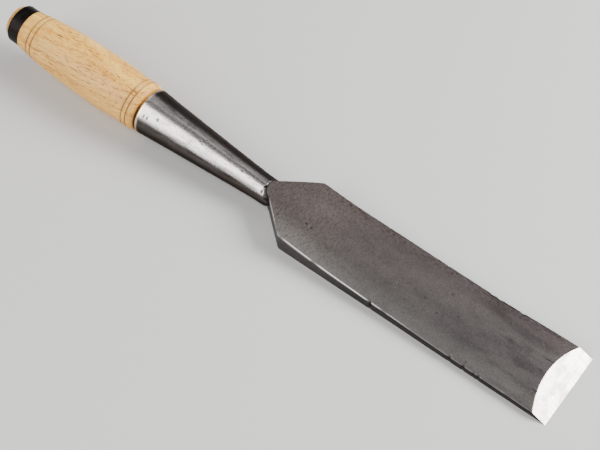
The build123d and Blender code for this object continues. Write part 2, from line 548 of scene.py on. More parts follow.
@dataclass(frozen=True)
class BurnishedIron:
    """Wrought iron socket rubbed bright by hands, with painted shade on its flanks.

    The flanks' painted shade also darkens what they mirror at a slant, a painted dark reflection,
    so that they stay dark over a pale floor.  The rubbed rim carries a painted warm reflection of
    the wood besides its wear.
    """

    name: str = "Burnished wrought iron"

    def build(self) -> bpy.types.Material:
        """Makes the material, streaked lengthwise.

        Returns:
            The finished material.
        """
        mix = Recipe(self.name, "worn", "pit", "painted_flank_shade")
        pattern = mix.patterns({
            "streaks": (30, 2.2, 2.2, 3, 0.6),
            "clouds": (18, 5, 5, 4, 0.6),
            "grain": (0.9, 0.9, 0.9, 3, 0.6),
            "turns": (1.0, 3.5, 3.5, 2, 0.6),    # file marks round the socket
            "spots": (1.3, 1.0, 1.0, 2, 0.5),
            "scratches": (24, 0.5, 0.5, 2, 0.5),
        })
        clouds, streaks, grain, turns = (
            pattern[name] for name in ("clouds", "streaks", "grain", "turns")
        )
        painted_flank_shade, pit = mix.tint["painted_flank_shade"], mix.tint["pit"]
        # streaked dirt, made much stronger as painted shade on the flanks
        dirt_and_flank_shade = mix.run(
            Step.HELD_PLUS, 0.0, (mix.run(Step.RAMP, streaks, (0.5, 0.66, 0.7)), 1.0),
            (mix.run(Step.RAMP, clouds, (0.52, 0.72, 0.5)), 1.0),
        )
        dirt_and_flank_shade = mix.run(Step.TIMES, dirt_and_flank_shade, mix.run(Step.HELD_PLUS, 0.25, (painted_flank_shade, 0.6)))
        spots = mix.run(
            Step.TIMES, mix.run(Step.RAMP, pattern["spots"], (0.63, 0.69)),
            mix.run(Step.RAMP, clouds, (0.42, 0.6, 0.85)),
        )
        # brown mottles only inside the painted flank shade
        brown = mix.run(Step.TIMES, painted_flank_shade, mix.run(Step.RAMP, streaks, (0.48, 0.7, 0.35)))
        colour = mix.run(
            Step.COAT, "#C6C0BD",
            (mix.run(Step.RAMP, clouds, (0.35, 0.6, 0.35)), "#8E8884"),
            (mix.run(Step.RAMP, grain, (0.48, 0.28, 0.4)), "#524C49"),
            (mix.run(Step.RAMP, turns, (0.42, 0.28, 0.25)), "#443E3B"),
            (dirt_and_flank_shade, "#2A2523"),
            (mix.run(Step.RAMP, pattern["scratches"], (0.56, 0.66, 0.45)), "#3A3431"),
            # painted shade: the flanks coated near black for dark reflections
            (painted_flank_shade, "#2C2725"),
            (brown, "#4A3C34"),
            (spots, "#2A2320"),
            # rubbed rim: wear plus a painted warm reflection of the wood
            (mix.tint["worn"], "#F2DDC0"),
            (pit, "#0C0908"),
        )
        rough = mix.run(Step.HELD_PLUS, 0.2, (dirt_and_flank_shade, 0.2), (grain, 0.12), (pit, 0.4), (painted_flank_shade, 0.06))
        relief = mix.run(Step.PLUS, 0.0, (grain, 0.7), (turns, 0.35), (streaks, 0.6))
        # painted dark reflection: the flanks' reflections tinted darker
        slant = mix.run(Step.COAT, "#FFFFFF", (painted_flank_shade, "#C2BDB9"))
        return mix.finish(
            relief, 0.02, Base_Color=colour, Roughness=rough, Metallic=1.0, Specular_Tint=slant,
        )


@dataclass(frozen=True)
class TurnedAsh:
    """Pale open-pored hardwood, turned and waxed: cream with brown dashes.

    Attributes:
        lean: slope of the handle's axis, in radians.
        name: name of the material.
    """

    lean: float
    name: str = "Turned and waxed ash"

    def build(self) -> bpy.types.Material:
        """Makes the material, its grain lying along the handle's axis.

        Returns:
            The finished material.
        """
        mix = Recipe(self.name, "gap_shade_and_handling", "burn")
        mix.place = mix.add("ShaderNodeMapping", {
            "Vector": mix.place, "Rotation": (0.35, self.lean, 0.0),
        }).outputs[0]
        pattern = mix.patterns({
            "bands": (120, 6.5, 2.6, 3, 0.55),    # growth rings, about 2.6 mm apart
            "pores": (3.8, 0.45, 0.45, 2, 0.5),   # open pores as dashes along the grain
            "long": (11, 0.6, 0.6, 2, 0.5),
            "fibre": (16, 0.42, 0.42, 3, 0.6),
            "blush": (30, 9, 9, 3, 0.55),
        })
        fibre = pattern["fibre"]
        early = mix.run(Step.RAMP, pattern["bands"], (0.4, 0.62))
        pores = mix.run(
            Step.TIMES, mix.run(Step.RAMP, pattern["pores"], (0.55, 0.64)),
            mix.run(Step.HELD_PLUS, 0.3, (early, 0.7)),
        )
        dashes = mix.run(Step.TIMES, mix.run(Step.RAMP, pattern["long"], (0.54, 0.68)), early)
        side = mix.add("ShaderNodeSeparateXYZ", {0: mix.place}).outputs
        warm = mix.run(Step.RAMP, side[1], (0.0, 17 * MM))
        wood = mix.run(
            Step.COAT, "#FFCA5E",
            (mix.run(Step.TIMES, early, 0.6), "#F0A63C"),
            (mix.run(Step.RAMP, pattern["blush"], (0.5, 0.72, 0.5)), "#EE9C34"),
            (mix.run(Step.TIMES, warm, 0.45), "#F49A2A"),
            # painted shade: the near, lower side of the grip darker
            (mix.run(Step.RAMP, side[1], (-6 * MM, -17 * MM, 0.4)), "#C88834"),
            (mix.run(Step.RAMP, fibre, (0.5, 0.72, 0.5)), "#FFE08C"),
            (mix.run(Step.RAMP, fibre, (0.5, 0.28, 0.75)), "#B87220"),
            (mix.run(Step.TIMES, dashes, 0.85), "#8A4C0C"),
            (mix.run(Step.TIMES, pores, 0.95), "#4A2406"),
        )
        # painted shade of the joint's gap, with slight darkening at the struck end
        wood = mix.run(Step.DYE, wood, (mix.tint["gap_shade_and_handling"], "#7A5430"))
        wood = mix.run(Step.COAT, wood, (mix.tint["burn"], "#6A380E"))
        relief = mix.run(Step.PLUS, 0.0, (fibre, 0.5), (pores, -1.4))
        rough = mix.run(Step.PLUS, 0.4, (fibre, 0.2))
        return mix.finish(
            relief, 0.03, Base_Color=wood, Roughness=rough, Coat_Weight=0.1, Coat_Roughness=0.3,
        )


@dataclass(frozen=True)
class BlackenedIron:
    """Forge-black iron ring: satin black, rubbed paler where it is struck."""

    name: str = "Forge-blackened iron"

    def build(self) -> bpy.types.Material:
        """Makes the material.

        Returns:
            The finished material.
        """
        mix = Recipe(self.name, "worn")
        pattern = mix.patterns({
            "scale": (3.2, 3.2, 3.2, 4, 0.6),
            "grain": (0.8, 0.8, 0.8, 3, 0.6),
        })
        scale = pattern["scale"]
        colour = mix.run(
            Step.COAT, "#1E1B1A",
            (mix.run(Step.RAMP, scale, (0.45, 0.7, 0.6)), "#2A2624"),
            (mix.tint["worn"], "#5E5852"),
        )
        rough = mix.run(Step.PLUS, 0.3, (scale, 0.3))
        relief = mix.run(Step.PLUS, 0.0, (scale, 1.0), (pattern["grain"], 0.6))
        return mix.finish(relief, 0.035, Base_Color=colour, Roughness=rough, Metallic=1.0)


@dataclass
class TurningAxis:
    """Axis that the socket and the handle are turned on.

    Attributes:
        height: height of the axis over the flat back at the heel nose.
        reach: from the heel nose to the socket's mouth, along the axis.
        around: points on each ring.
    """

    height: float = 10.44
    reach: float = 93.9
    around: int = 224

    def __post_init__(self) -> None:
        """Reads the axis from the joint and its place from the blade's box."""
        along = np.array(frame["joints"][0]["axis"], float)
        self.along = along / np.linalg.norm(along)
        self.up = np.array([self.along[2], 0.0, -self.along[0]])
        self.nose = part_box("blade")[0][0] / MM
        run = self.reach * -self.along[0]
        self.mouth = np.array([self.nose - run, 0.0, self.height + self.reach * self.along[2]])
        self.lean = math.atan2(self.along[2], -self.along[0])
        self.turn = np.linspace(0, 2 * math.pi, self.around, endpoint=False)

    def rings(self, station: np.ndarray, radius: np.ndarray) -> np.ndarray:
        """Circles round the axis: mouth + station*along + radius*(cos*up + sin*Y).

        Args:
            station: distance from the mouth, towards the struck end.
            radius: distance from the axis, of the same shape or one column.

        Returns:
            Points of shape (rings, around, 3).
        """
        station, radius = np.broadcast_arrays(
            np.reshape(station, (len(station), -1)), np.reshape(radius, (len(radius), -1))
        )
        if station.shape[1] == 1:
            station, radius = (np.repeat(v, self.around, 1) for v in (station, radius))
        cos, sin = np.cos(self.turn), np.sin(self.turn)
        side = np.array([0.0, 1.0, 0.0])
        return (
            self.mouth + station[..., None] * self.along
            + (radius * cos)[..., None] * self.up + (radius * sin)[..., None] * side
        )

    def ripple(self, seed: int, span: float, profile: np.ndarray) -> np.ndarray:
        """Unevenness round a turned piece: the mean of one over each of its two sides.

        Args:
            seed: number that fixes the first, and the next one the second.
            span: distance between highs and lows.
            profile: station and radius of each ring.

        Returns:
            Heights between -1 and 1, of shape (rings, around).
        """
        station, radius = profile[:, :1], profile[:, 1:]
        aside = 40.0    # keeps both coordinates positive
        first = Unevenness(seed, span).at(station, radius * np.cos(self.turn) + aside)
        second = Unevenness(seed + 1, span).at(station, radius * np.sin(self.turn) + aside)
        return (first + second) / 2


@dataclass
class BladeShape:
    """Outline, crown and bevel that the blade and its steel facing share.

    Attributes:
        thickness: height of the middle of the front, at places along the blade.
        edge_waves, front_waves: seed, span and height of each unevenness.
        marks: pits and dents of the front, at x and y.
        nicks: bites out of the arris, at x and on the side that b names.
    """

    edge_width: float = 50.8
    shoulder_width: float = 46.6
    length: float = 186.5
    shoulder_run: float = 20.3
    heel_width: float = 12.0
    heel_nose: float = 3.9
    crown_radius: float = 110.0
    bevel_angle: float = 26.1
    corner_radius: float = 3.0
    arris_radius: float = 0.45
    slant_end: float = 4.0        # run past the shoulders where rims are still taken in plan
    edge_waves: tuple = ((5, 26, 0.14), (6, 6, 0.05))
    front_waves: tuple = ((11, 21, 0.045), (12, 7, 0.018))
    steel: float = 3.0
    steel_length: float = 149.2
    steel_scarf: float = 12.0
    thickness: tuple = (
        (-214.0, 19.3), (-186.5, 16.7), (-169.7, 14.2), (-130.55, 10.7),
        (-80.2, 8.4), (-14.9, 7.4), (10.0, 7.0),
    )
    marks: tuple = (
        Mark(-177.6, -7.2, 0.75, 0.7, 0.22), Mark(-173.6, -7.6, 0.8, 0.75, 0.24),
        Mark(-165.6, 21.2, 0.8, 0.7, 0.2), Mark(-95.3, -3.2, 0.9, 0.5, 0.12, 0.8),
        Mark(-84.2, 8.6, 0.7, 0.6, 0.14, 0.8), Mark(-84.5, -7.1, 0.6, 0.6, 0.12, 0.8),
        Mark(-80.9, -7.0, 0.55, 0.5, 0.1, 0.7), Mark(-73.5, -1.8, 0.6, 0.5, 0.1, 0.7),
        Mark(-54.6, -22.0, 0.7, 0.5, 0.15, 0.8), Mark(-14.8, -14.3, 2.4, 0.5, 0.1, 0.9),
        Mark(-18.9, -1.9, 1.8, 0.6, 0.08, 0.6), Mark(-18.5, 6.3, 3.8, 0.45, 0.1, 0.7),
        Mark(-42.1, 3.8, 2.2, 1.2, 0.04, 0.4), Mark(-194.6, -13.1, 0.5, 1.4, 0.1, 0.7),
    )
    nicks: tuple = (
        Mark(-118.9, NEAR, 0.8, 1.0, 0.45), Mark(-63.8, NEAR, 0.9, 1.0, 0.5, 0.8),
        Mark(-54.5, NEAR, 1.0, 1.0, 0.45, 0.8), Mark(-47.5, NEAR, 0.7, 1.0, 0.3, 0.7),
        Mark(-44.4, NEAR, 0.8, 1.0, 0.4, 0.8), Mark(-66.5, FAR, 1.4, 1.0, 0.4, 0.7),
        Mark(-61.5, FAR, 1.2, 1.0, 0.45, 0.7), Mark(-46.1, FAR, 1.2, 1.0, 0.45, 0.7),
        Mark(-139.0, FAR, 0.9, 1.0, 0.3), Mark(-97.0, FAR, 0.8, 1.0, 0.25),
    )

    def __post_init__(self) -> None:
        """Works out the half outline from the heel nose to the cutting edge."""
        self.heel = -(self.length + self.shoulder_run)
        self.nose = self.heel - self.heel_nose
        half = self.heel_width / 2
        radius = (half**2 + self.heel_nose**2) / (2 * self.heel_nose)
        turn = np.linspace(0, math.asin(half / radius), 15)
        arc = np.column_stack([self.nose + radius * (1 - np.cos(turn)), radius * np.sin(turn)])
        sides = rounded([
            (self.heel, half, 0), (-self.length, self.shoulder_width / 2, self.corner_radius),
            (0.0, self.edge_width / 2, 0),
        ])
        self.half_outline = np.vstack([arc, sides[1:]])
        self.bevel = math.tan(math.radians(self.bevel_angle))
        self.steel_end = -self.steel / self.bevel

    def half_width(self, x: np.ndarray, side: np.ndarray) -> np.ndarray:
        """Half width on each side: the outline with the edge's waves, less its nicks.

        Args:
            x: places along the blade.
            side: NEAR or FAR for each place.

        Returns:
            The half width at each place.
        """
        x, side = np.broadcast_arrays(np.asarray(x, float), side)
        width = np.interp(x, *self.half_outline.T)
        clear = eased((x + 180) / 25) * eased(-x / 12)
        wave = sum(Unevenness(seed, span).at(x, side * 40) * h for seed, span, h in self.edge_waves)
        swell, worn_in = Mark(-130, 0, 24, 1, 0.42), Mark(-58, 0, 20, 1, 0.5)
        far_wave = swell.depth * swell.bell(x, 0) - worn_in.depth * worn_in.bell(x, 0)
        wave = np.where(side > 0, wave + far_wave, wave)
        bites = sum(n.bell(x, n.b) * n.depth * 0.6 * (side * n.b > 0) for n in self.nicks)
        return width + wave * clear - bites

    def rim_distance(self, x: np.ndarray, y: np.ndarray) -> np.ndarray:
        """Distance in plan from each point to the outline: least over its runs.

        Args:
            x, y: the points.

        Returns:
            The distance of each point.
        """
        start, end = self.half_outline[:-1], self.half_outline[1:]
        run = end - start
        offset = np.stack([x, np.abs(y)], -1)[..., None, :] - start
        share = np.clip((offset * run).sum(-1) / (run**2).sum(-1), 0, 1)
        return np.hypot(*np.moveaxis(offset - share[..., None] * run, -1, 0)).min(-1)

    def depth_in(self, x: np.ndarray, y: np.ndarray) -> np.ndarray:
        """Distance in from the rim: across the blade, or in plan at the shoulders.

        Args:
            x, y: the points.

        Returns:
            The distance of each point, 0 outside.
        """
        across = np.maximum(self.half_width(x, np.where(y > 0, FAR, NEAR)) - np.abs(y), 0.0)
        slanted = x < -self.length + self.slant_end
        return np.where(slanted, np.minimum(across, self.rim_distance(x, y)), across)

    def front(self, x: np.ndarray, y: np.ndarray) -> np.ndarray:
        """Height of the crowned front: thickness less crown, arris and marks.

        The crown falls by R - sqrt(R^2 - y^2), and the arris by the same rule
        with its own small radius and the distance to the side.

        Args:
            x, y: places on the front.

        Returns:
            The height of each place.
        """
        side = np.where(y > 0, FAR, NEAR)
        depth_in = self.depth_in(x, y)
        radius = self.arris_radius * (1 - 0.5 * eased((x + 125) / 60))
        inside = radius - np.minimum(depth_in, radius)
        drop = radius - np.sqrt(np.maximum(radius**2 - inside**2, 0))
        crown = self.crown_radius - np.sqrt(self.crown_radius**2 - y**2)
        hollow = sum(m.bell(x, y) * m.depth for m in self.marks)
        bites = sum(
            n.bell(x, n.b) * n.depth * np.exp(-((depth_in / (1.1 * n.length)) ** 2))
            * (side * n.b > 0) for n in self.nicks
        )
        wave = sum(Unevenness(seed, span).at(x, y + 60) * h for seed, span, h in self.front_waves)
        height = through(self.thickness, x) - crown - drop - hollow - bites
        return height + wave * eased(depth_in / 4)

    def under(self, x: np.ndarray) -> np.ndarray:
        """Height where iron meets steel: flat, then a scarf down to the back."""
        return self.steel * np.clip((x + self.steel_length) / self.steel_scarf, 0, 1)


@dataclass
class BladeIron:
    """Crowned wrought-iron body of the blade, from the heel to the bevel.

    Attributes:
        shape: the outline and heights.
        columns: points across the front, between the rims.
        rim_steps: rows of the arris, as distances in from the side.
        rim_band: distance in at which the front's own columns start.
        side_rows: rows on each side wall.
        bevel_rings: rings that bring the front down to the steel.
        heel_chamfer: chamfer under the heel and the shoulders.
        warp_start: from here on, rings bend towards the bevel's curve.
        bevel_base: where the last straight ring would be.
        rounds: rounds of averaging that settle on the bevel's curve.
        patch: brown stain near the far rim.
    """

    shape: BladeShape
    columns: int = 71
    rim_steps: tuple = (0.0, 0.04, 0.12, 0.24, 0.38, 0.6)
    rim_band: float = 0.9
    side_rows: int = 6
    bevel_rings: int = 10
    heel_chamfer: float = 0.8
    warp_start: float = -45.0
    bevel_base: float = -15.0
    rounds: int = 40
    patch: Mark = Mark(-55.0, 19.5, 13.0, 7.5, 0.0)

    def stations(self) -> np.ndarray:
        """Ring positions: crowded at the round nose, even along the blade.

        Returns:
            Places along the blade, from the heel's nose to the bevel.
        """
        shape = self.shape
        turn = np.linspace(0, math.pi / 2, 16)
        nose = shape.nose + shape.heel_nose * (1 - np.cos(turn))
        shoulder = np.linspace(shape.heel, -shape.length + 3, 44)[1:]
        blade = np.linspace(-shape.length + 3, self.bevel_base, 300)[1:]
        return np.concatenate([nose, shoulder, blade])

    def rings(self) -> tuple[np.ndarray, dict[str, np.ndarray], np.ndarray]:
        """Closed sections of the body, one for each station.

        Across the front, y is a share of the half width less a fixed rim, so that the arris, rubbed
        round by use, keeps its own rows.  Rings near the bevel bend until the last lies where the
        crown meets the ground plane.

        Returns:
            Points, tints and the finish of each band.
        """
        shape = self.shape
        rim = np.array(self.rim_steps)
        inner = np.linspace(-1, 1, self.columns)
        share = np.concatenate([-np.ones(len(rim)), inner, np.ones(len(rim))])
        inset = np.concatenate([rim, np.full(self.columns, self.rim_band), rim[::-1]])
        side = np.where(share > 0, FAR, NEAR)

        def across(x: np.ndarray) -> np.ndarray:
            """y of each column at its own x."""
            half = shape.half_width(x, side)
            return share * (half - inset * np.minimum(1, half / (2.5 * self.rim_band)))

        meet = np.full(share.shape, self.bevel_base)
        for _ in range(self.rounds):
            meet = 0.5 * meet - 0.5 * shape.front(meet, across(meet)) / shape.bevel
        base = self.stations()[:, None]
        pull = eased((base - self.warp_start) / (self.bevel_base - self.warp_start))
        body = base + pull * (meet - self.bevel_base)
        fall = np.linspace(0, 1, self.bevel_rings + 1)[1:, None]
        ground = meet + fall * (shape.steel_end - meet)
        x = np.vstack([body, ground])
        y = across(x)
        z = shape.front(x, y)
        grinding = np.arange(len(x)) >= len(body)
        z = np.where(grinding[:, None], -x * shape.bevel, z)
        z = np.maximum(z, shape.under(x))

        rows = np.linspace(0, 1, self.side_rows + 2)[1:-1]
        chamfer = self.heel_chamfer * eased((-shape.length + 2 - x[:, :1]) / 4)
        inward = np.minimum(np.abs(y[:, :1]) * 0.6, chamfer)
        walls = []
        for column, turn in ((-1, rows), (0, rows[::-1])):
            wx, wy, wz = (v[:, [column]] + 0 * rows for v in (x, y, z))
            low = shape.under(wx) + chamfer
            walls.append((wx, wy, wz + (low - wz) * turn))
        left, right = x[:, -1:], x[:, :1]
        back = y[:, ::-1]
        foot_x = left + (right - left) * np.linspace(0, 1, len(share))
        widest = np.abs(np.where(back > 0, y[:, -1:], y[:, :1])) - inward
        foot = (foot_x, np.sign(back) * np.minimum(np.abs(back), widest), shape.under(foot_x))
        corners = [
            (v, y[:, [column]], shape.under(v) + chamfer) for v, column in ((left, -1), (right, 0))
        ]
        parts = zip((x, y, z), walls[0], corners[0], foot, corners[1], walls[1])
        points = np.stack([np.concatenate(part, axis=1) for part in parts], -1)
        on_front = np.arange(points.shape[1]) < len(share) - 1
        return points, self.tints(points, len(share)), grinding[1:, None] & on_front

    def tints(self, points: np.ndarray, top: int) -> dict[str, np.ndarray]:
        """Where the blade is rubbed bright, crusted in pits, rusty at the rim or darkened by
        painted shade on its walls.

        Args:
            points: the rings.
            top: how many columns of each ring are the front.

        Returns:
            Values named worn, pit, rim, flank and stain.
        """
        shape = self.shape
        x, y = points[..., 0], points[..., 1]
        front = np.arange(points.shape[1]) < top
        side = np.where(y > 0, FAR, NEAR)
        inside = shape.depth_in(x, y)
        gaps = Unevenness(21, 5).at(x, side * 30)
        polish = np.where(y < 0, 1.0, 0.2) * (0.12 + 0.88 * eased((-85 - x) / 45))
        polish = polish * eased(0.95 + 0.9 * gaps)
        worn = 0.8 * front * polish * eased((0.5 - inside) / 0.25) * eased((x - shape.nose) / 4)
        pit = sum(m.bell(x, y) * m.dark for m in shape.marks) * front
        pit = pit + sum(
            n.bell(x, n.b) * n.dark * np.exp(-((inside / (0.9 * n.length)) ** 2)) * (side * n.b > 0)
            for n in shape.nicks
        )
        rim = front * eased((y - 14) / 8) * eased((x + 190) / 10)
        # painted shade on the side walls, deepest towards the cutting edge
        painted_flank_shade = (~front).astype(float) * (0.8 + 0.2 * eased((x + 150) / 60))
        ragged = 0.9 + 1.1 * Unevenness(23, 4).at(x, side * 50)
        stain = front * (y > 0) * eased((x + 82) / 14) * eased((-30 - x) / 10)
        stain = 0.8 * stain * eased((ragged - inside) / 0.5) + 0.3 * front * self.patch.bell(x, y)
        return {
            "worn": worn, "pit": np.clip(pit, 0, 1), "rim": rim, "painted_flank_shade": painted_flank_shade,
            "stain": np.clip(stain, 0, 1),
        }

    def build(self, iron: bpy.types.Material, ground: bpy.types.Material) -> bpy.types.Object:
        """Makes the piece and joins it to the frame.

        Args:
            iron: finish of the forged faces.
            ground: finish of the bevel.

        Returns:
            The piece.
        """
        points, tints, finish = self.rings()
        piece = Skin("blade_body", points, tints, finish).build([iron, ground])
        return mounted(piece, Body.IRON, "blade")


@dataclass
class SteelFacing:
    """Hard steel welded into the flat back, ground to the cutting edge."""

    shape: BladeShape
    columns: int = 41
    side_rows: int = 2

    def build(self, iron: bpy.types.Material, ground: bpy.types.Material) -> bpy.types.Object:
        """Makes the piece: sections between the flat back and the weld.

        Each section is a strip whose height is the least of the scarf, the
        full thickness and the ground plane, so both ends close to a line.

        Args:
            iron: finish of the sides and of the flat back.
            ground: finish of the bevel.

        Returns:
            The piece.
        """
        shape = self.shape
        scarf = shape.steel_scarf - shape.steel_length
        x = np.concatenate([
            np.linspace(-shape.steel_length, scarf, 16),
            np.linspace(scarf, shape.steel_end, 230)[1:],
            np.linspace(shape.steel_end, 0, 9)[1:],
        ])[:, None]
        share = np.linspace(-1, 1, self.columns)
        half = shape.half_width(x, np.where(share > 0, FAR, NEAR))
        y = share * half
        height = np.minimum(shape.under(x), -x * shape.bevel)
        rows = np.linspace(1, 0, self.side_rows + 2)[1:-1]
        flat = np.zeros_like(y)
        points = np.concatenate([
            np.stack([x + flat, y, height + flat], -1),
            np.stack([x + 0 * rows, y[:, -1:] + 0 * rows, height * rows], -1),
            np.stack([x + flat, y[:, ::-1], flat], -1),
            np.stack([x + 0 * rows, y[:, :1] + 0 * rows, height * rows[::-1]], -1),
        ], axis=1)
        around = points.shape[1]
        column = np.arange(around)
        bright = (x[1:] > shape.steel_end - 1e-6) & (column < self.columns - 1)
        none = np.zeros((len(x), around))
        back = (column >= self.columns + self.side_rows) & (column < around - self.side_rows)
        # painted shade: the facing's sides darkened, its flat back less
        painted_shade = none + np.where(back, 0.3, 0.9)
        tints = {"worn": none, "pit": none, "rim": none, "painted_flank_shade": painted_shade, "stain": none}
        skin = Skin("steel_facing", points, tints, bright)
        return mounted(skin.build([iron, ground]), Body.IRON, "edge_steel")


@dataclass
class Socket:
    """Forged hollow cone on a solid neck, welded on behind the heel.

    Attributes:
        axis, shape: what the socket is turned on, and the blade it is welded to.
        neck_short: how far the neck's knots stop short of the heel's nose.
        neck_blend: run over which the neck's end takes the shape of the heel.
        clear: gap left between the neck's end and the heel.
        lip: where the outer profile ends and the rim's rounding starts.
        sill: depth of the rim's straight run inside the mouth.
        end_round: radius that rounds over the neck's end on its near side.
        waves: seed, span and height of each unevenness of the outside.
        painted_shade: bands of painted shade on the flanks, standing for dark reflections, each as
            the side, its share, the turn in radians from the top at which it starts, and the run to
            its full share.
        swells: shares of the length from the mouth and of the swell that is left.
        pits: pits at a station and an arc from the top.
    """

    axis: TurningAxis
    shape: BladeShape
    mouth_radius: float = 15.45
    neck_radius: float = 8.5
    neck_short: float = 0.7
    neck_blend: float = 9.0
    clear: float = 0.03
    lip: float = 2.2
    sill: float = 3.0
    bore_mouth: float = 12.9
    bore_end: float = 7.2
    bore_depth: float = 70.0
    bore_tip: float = 4.0
    bore_step: float = 1.6
    rim_round: float = 1.1
    inner_round: float = 0.44
    end_round: float = 5.0
    waves: tuple = ((33, 13, 0.05), (35, 4, 0.015))
    painted_shade: tuple = (
        (NEAR, 0.25, 0.7, 0.2), (NEAR, 0.64, 0.98, 0.12), (NEAR, 0.11, 1.1, 0.8),
        (FAR, 0.62, -0.12, 0.16), (FAR, 0.22, 0.15, 0.2), (FAR, 0.11, 0.4, 0.3),
    )
    swells: tuple = ((0.0, 1.0), (0.2, 0.775), (0.42, 0.555), (0.7, 0.275), (1.0, 0.0))
    pits: tuple = (
        Mark(-75.6, -3.2, 0.8, 0.5, 0.3), Mark(-43.6, -3.8, 0.7, 0.4, 0.22),
        Mark(-45.6, -4.7, 0.5, 0.3, 0.15), Mark(-5.0, -12.2, 0.35, 0.8, 0.2),
        Mark(-7.4, -12.0, 0.35, 0.9, 0.22), Mark(-13.9, -8.8, 0.4, 0.7, 0.2),
        Mark(-92.6, -3.1, 0.5, 0.9, 0.45), Mark(-92.7, -6.6, 0.5, 1.0, 0.4),
        Mark(-55.0, 6.0, 0.6, 0.5, 0.18), Mark(-24.0, -2.0, 0.4, 0.4, 0.1, 0.7),
    )

    def __post_init__(self) -> None:
        """Works out the length of the cone from its mouth to the neck's end."""
        self.length = self.axis.reach - self.neck_short

    def profile(self) -> tuple[np.ndarray, np.ndarray]:
        """Profile from the neck's end over the rim and down the tapered hollow.

        Returns:
            Station and radius of each ring, and 1 for rings outside, 0 for the hollow.
        """
        swell = self.mouth_radius - self.neck_radius
        knots = [(-self.length * a, self.neck_radius + swell * b) for a, b in self.swells][::-1]
        crowded = 5 - self.length
        station = np.concatenate([
            np.linspace(-self.length, crowded, 24), np.linspace(crowded, -self.lip, 144)[1:],
        ])
        outer = np.column_stack([station, through(knots, station)])
        slope = (self.bore_mouth - self.bore_end) / self.bore_depth
        sill = (-self.sill, self.bore_mouth - self.sill * slope)
        rim = rounded([
            (*outer[-1], 0), (0.0, self.mouth_radius, self.rim_round),
            (0.0, self.bore_mouth, self.inner_round), (*sill, 0),
        ])
        bore = spaced(np.array([
            sill, (-self.bore_depth, self.bore_end), (-self.bore_depth - self.bore_tip, 0.0),
        ]), self.bore_step)
        rings = np.vstack([outer, rim[1:], bore[1:]])
        outside = np.arange(len(rings)) < len(outer) + len(rim) - 2
        return rings, outside.astype(float)[:, None]

    def heel_station(self, radius: np.ndarray | float) -> np.ndarray:
        """Station at which each ray at a radius meets the heel's upright wall.

        Args:
            radius: distance from the axis.

        Returns:
            The stations, a hair clear of the wall, so the two meet face to face.
        """
        axis = self.axis
        outline_x, outline_y = self.shape.half_outline.T
        wall = np.interp(np.abs(radius * np.sin(axis.turn)), outline_y, outline_x)
        rise = radius * np.cos(axis.turn) * axis.along[2]
        return (axis.mouth[0] + rise - wall) / -axis.along[0] - self.clear

    def build(self, iron: bpy.types.Material) -> bpy.types.Object:
        """Makes the piece: neck end, cone, rim and tapered hollow in one skin.

        The neck's end is rounded over by r - sqrt(r^2 - (r - gap)^2), with the
        gap to the heel and a radius r that is largest low on the near side.

        Args:
            iron: finish of the socket.

        Returns:
            The piece, joined to the frame.
        """
        axis = self.axis
        profile, outside = self.profile()
        place = profile[:, :1]
        cos, sin = np.cos(axis.turn), np.sin(axis.turn)
        end = self.heel_station(self.neck_radius)
        pull = eased((-self.length + self.neck_blend - place) / self.neck_blend)
        station = place + pull * (end + self.length)
        gap = station - end
        bend = self.end_round * (0.25 + 0.75 * eased(0.35 - 0.9 * sin - 0.5 * cos))
        crease = bend - np.sqrt(bend**2 - (bend - np.clip(gap, 0, bend)) ** 2)
        rough = 0.16 * axis.ripple(31, 1.3, profile) * np.exp(-((gap / 2.5) ** 2))
        waves = sum(h * axis.ripple(seed, span, profile) for seed, span, h in self.waves)
        ends = eased((-place - 0.5) / 6) * eased((place + self.length + 2) / 6)
        turn = (axis.turn + math.pi) % (2 * math.pi) - math.pi
        arc = profile[:, 1:] * turn
        hollow = sum(0.5 * p.bell(station, arc) * p.depth for p in self.pits)
        radius = profile[:, 1:] + outside * (waves * ends - hollow - crease + rough)

        caps = np.linspace(0, 1, 8)[:-1, None] * radius[:1]
        rings = axis.rings(
            np.vstack([self.heel_station(caps), station]), np.vstack([caps, radius])
        )
        dark = sum(np.sqrt(p.bell(station, arc)) * p.dark for p in self.pits)
        seam = np.exp(-((gap / 1.3) ** 2)) * (0.8 + 0.3 * axis.ripple(37, 1.1, profile))
        # the rim's pale warm tint: rubbed wear and a painted reflection of the wood
        rubbed = 0.85 * outside * eased((place + self.lip + 0.1) / 0.6)
        # painted shade and painted dark reflection: flanks darkened in bands by their turn from the
        # top
        wander = turn + 0.06 * axis.ripple(39, 5, profile)
        painted_flank_shade = sum(
            share * eased((side * wander - start) / run) for side, share, start, run in self.painted_shade
        )
        values = {
            "pit": np.clip(outside * (dark + seam), 0, 1), "worn": rubbed + 0 * gap,
            "painted_flank_shade": outside * painted_flank_shade,
        }
        tints = {name: np.vstack([0 * caps, value]) for name, value in values.items()}
        skin = Skin("socket_cone", rings, tints)
        return mounted(skin.build([iron]), Body.IRON, "socket")


